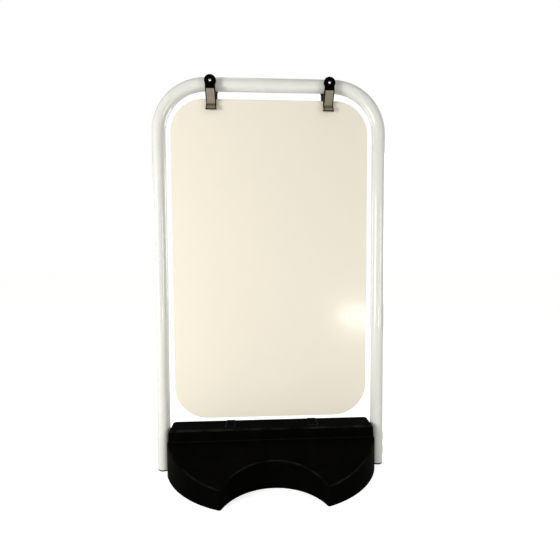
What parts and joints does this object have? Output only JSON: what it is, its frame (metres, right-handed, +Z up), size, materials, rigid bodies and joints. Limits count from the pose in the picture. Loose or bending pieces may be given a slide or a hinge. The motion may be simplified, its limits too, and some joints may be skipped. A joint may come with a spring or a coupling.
{
  "type": "sandwich board",
  "caption": "Swinging pavement sign: rounded panel hung by sprung clips from a bent tube hoop that stands in a heavy moulded base with scalloped lobes.",
  "frame": {"origin": "on the floor, under the middle of the hoop and the base", "axes": "+X to the right seen from the front, -Y towards the front viewer, +Z up along the legs"},
  "size_m": [0.5474, 0.3404, 0.9211],
  "materials": {
    "white_powder_coat": "gloss",
    "black_moulded_pvc": "satin",
    "cream_panel": "satin",
    "zinc_steel": "satin",
    "white_plastic": "satin",
    "black_plastic_cap": "satin",
    "nickel_steel": "satin",
    "black_clip_plastic": "gloss",
    "blackened_steel": "satin",
    "polished_rivet": "gloss",
    "pad_rubber": "matt",
    "spring_steel": "satin"
  },
  "bodies": {
    "frame": {"frame_hoop": "white_powder_coat", "base_block": "black_moulded_pvc", "leg_screws": "zinc_steel", "leg_inserts": "zinc_steel", "leg_plugs": "white_plastic", "leg_cap_left": "black_plastic_cap", "leg_cap_right": "black_plastic_cap"},
    "sign": {"hanging_panel": "cream_panel", "pivot_pin_left": "blackened_steel", "pivot_spacer_left": "zinc_steel", "bow_spring_left": "spring_steel", "pivot_pin_right": "blackened_steel", "pivot_spacer_right": "zinc_steel", "bow_spring_right": "spring_steel"},
    "front_lever_left": {"front_lever_left": "black_clip_plastic", "front_steel_strip_left": "nickel_steel", "front_rivet_left": "polished_rivet", "front_jaw_pad_left": "pad_rubber"},
    "rear_lever_left": {"rear_lever_left": "black_clip_plastic", "rear_steel_strip_left": "nickel_steel", "rear_rivet_left": "polished_rivet", "rear_jaw_pad_left": "pad_rubber"},
    "front_lever_right": {"front_lever_right": "black_clip_plastic", "front_steel_strip_right": "nickel_steel", "front_rivet_right": "polished_rivet", "front_jaw_pad_right": "pad_rubber"},
    "rear_lever_right": {"rear_lever_right": "black_clip_plastic", "rear_steel_strip_right": "nickel_steel", "rear_rivet_right": "polished_rivet", "rear_jaw_pad_right": "pad_rubber"}
  },
  "joints": [
    {"name": "panel_swing", "type": "hinge", "parent": "frame", "child": "sign", "pos_m": [0, 0, 0.905], "axis": [1, 0, 0], "range_deg": [-90, 90]},
    {"name": "front_lever_squeeze_left", "type": "hinge", "parent": "sign", "child": "front_lever_left", "pos_m": [-0.1355, 0, 0.8795], "axis": [-1, 0, 0], "range_deg": [0, 12], "stiffness_Nm_per_rad": 1.2, "springref_deg": -20.05, "deforming": ["bow_spring_left"]},
    {"name": "rear_lever_squeeze_left", "type": "hinge", "parent": "sign", "child": "rear_lever_left", "pos_m": [-0.1355, 0, 0.8795], "axis": [1, 0, 0], "range_deg": [0, 12]},
    {"name": "front_lever_squeeze_right", "type": "hinge", "parent": "sign", "child": "front_lever_right", "pos_m": [0.1355, 0, 0.8795], "axis": [-1, 0, 0], "range_deg": [0, 12], "stiffness_Nm_per_rad": 1.2, "springref_deg": -20.05, "deforming": ["bow_spring_right"]},
    {"name": "rear_lever_squeeze_right", "type": "hinge", "parent": "sign", "child": "rear_lever_right", "pos_m": [0.1355, 0, 0.8795], "axis": [1, 0, 0], "range_deg": [0, 12]}
  ],
  "couplings": [
    {"joint": "rear_lever_squeeze_left", "follows": "front_lever_squeeze_left", "ratio": 1},
    {"joint": "rear_lever_squeeze_right", "follows": "front_lever_squeeze_right", "ratio": 1}
  ]
}
